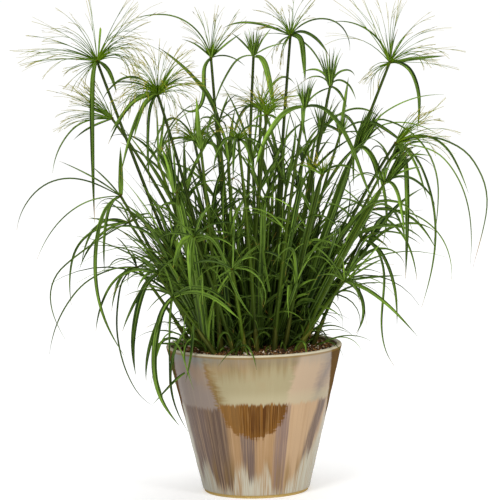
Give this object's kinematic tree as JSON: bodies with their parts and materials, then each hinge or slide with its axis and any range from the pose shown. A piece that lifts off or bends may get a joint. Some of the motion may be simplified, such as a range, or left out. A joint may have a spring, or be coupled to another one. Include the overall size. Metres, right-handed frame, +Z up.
{
  "type": "potted papyrus plant",
  "caption": "Clump of thin stems with leafy and feathery umbrella heads and arching leaves, growing in potting mix in a tapered round glazed clay pot.",
  "frame": {"origin": "centre of the pot's flat underside, on the surface it stands on", "axes": "+Z up, +X to the plant's right as seen from the front, +Y away from the front"},
  "size_m": [0.8021, 0.6872, 0.862],
  "materials": {
    "glaze": "gloss",
    "potting_mix": "matte",
    "stem_green": "satin",
    "leaf_green": "satin"
  },
  "bodies": {
    "root": {"pot": "glaze", "soil": "potting_mix", "culm_01": "stem_green", "culm_02": "stem_green", "culm_03": "stem_green", "culm_04": "stem_green", "culm_05": "stem_green", "culm_06": "stem_green", "culm_07": "stem_green", "culm_08": "stem_green", "culm_09": "stem_green", "culm_10": "stem_green", "culm_11": "stem_green", "culm_12": "stem_green", "culm_13": "stem_green", "culm_14": "stem_green", "culm_15": "stem_green", "culm_16": "stem_green", "culm_17": "stem_green", "culm_18": "stem_green", "culm_19": "stem_green", "culm_20": "stem_green", "umbel_01": "leaf_green", "umbel_02": "leaf_green", "umbel_03": "leaf_green", "umbel_04": "leaf_green", "umbel_05": "leaf_green", "umbel_06": "leaf_green", "umbel_07": "leaf_green", "umbel_08": "leaf_green", "umbel_09": "leaf_green", "umbel_10": "leaf_green", "umbel_11": "leaf_green", "umbel_12": "leaf_green", "umbel_13": "leaf_green", "umbel_14": "leaf_green", "umbel_15": "leaf_green", "umbel_16": "leaf_green", "umbel_17": "leaf_green", "umbel_18": "leaf_green", "umbel_19": "leaf_green", "umbel_20": "leaf_green", "shoot_01": "leaf_green", "shoot_02": "leaf_green", "shoot_03": "leaf_green", "shoot_04": "leaf_green", "shoot_05": "leaf_green", "shoot_06": "leaf_green", "shoot_07": "leaf_green", "shoot_08": "leaf_green", "shoot_09": "leaf_green", "shoot_10": "leaf_green", "shoot_11": "leaf_green", "shoot_12": "leaf_green", "shoot_13": "leaf_green", "leaf_clump_left": "leaf_green", "leaf_clump_middle": "leaf_green", "leaf_clump_front": "leaf_green", "leaf_clump_right": "leaf_green", "leaf_clump_back": "leaf_green"}
  },
  "joints": []
}
